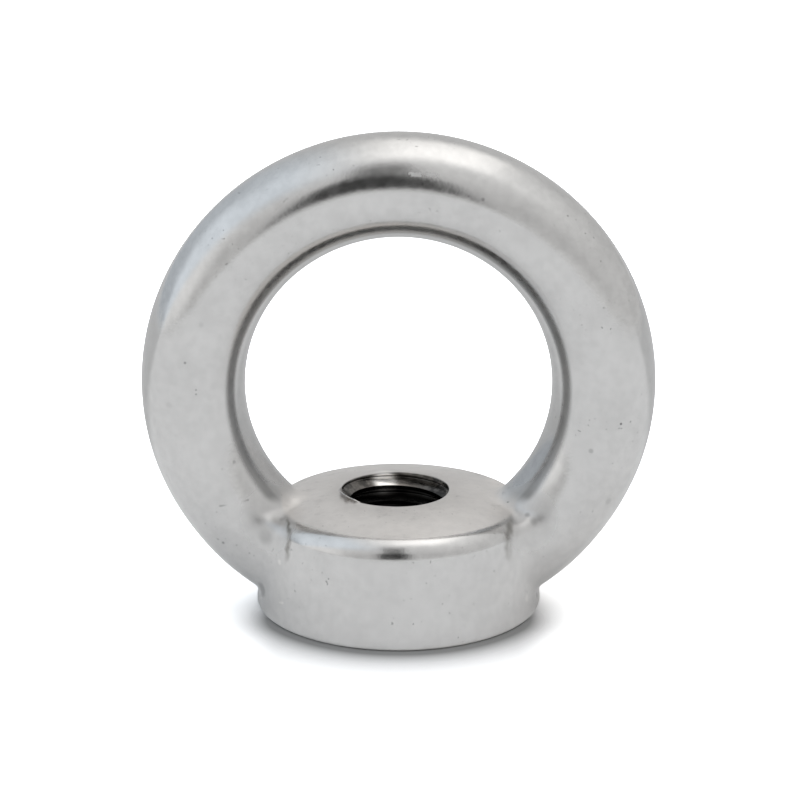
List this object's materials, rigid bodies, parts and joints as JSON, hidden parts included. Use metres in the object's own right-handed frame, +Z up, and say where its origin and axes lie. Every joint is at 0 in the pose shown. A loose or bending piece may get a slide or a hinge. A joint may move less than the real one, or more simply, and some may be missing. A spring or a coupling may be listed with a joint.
{
  "type": "lifting eye nut",
  "caption": "Round-bar lifting ring standing on a tapered, crowned boss with a threaded hole up through its axis.",
  "frame": {"origin": "centre of the flat seating face, on the thread axis", "axes": "+Z up along the thread axis, out of the seating face towards the top of the ring; X across the ring, in its plane; Y through the eye, with -Y out of the front"},
  "size_m": [0.045, 0.0253, 0.0425],
  "materials": {
    "stainless_steel": "satin-polished stainless steel, unpainted"
  },
  "bodies": {
    "root": {"eye_nut": "stainless_steel"}
  },
  "joints": []
}
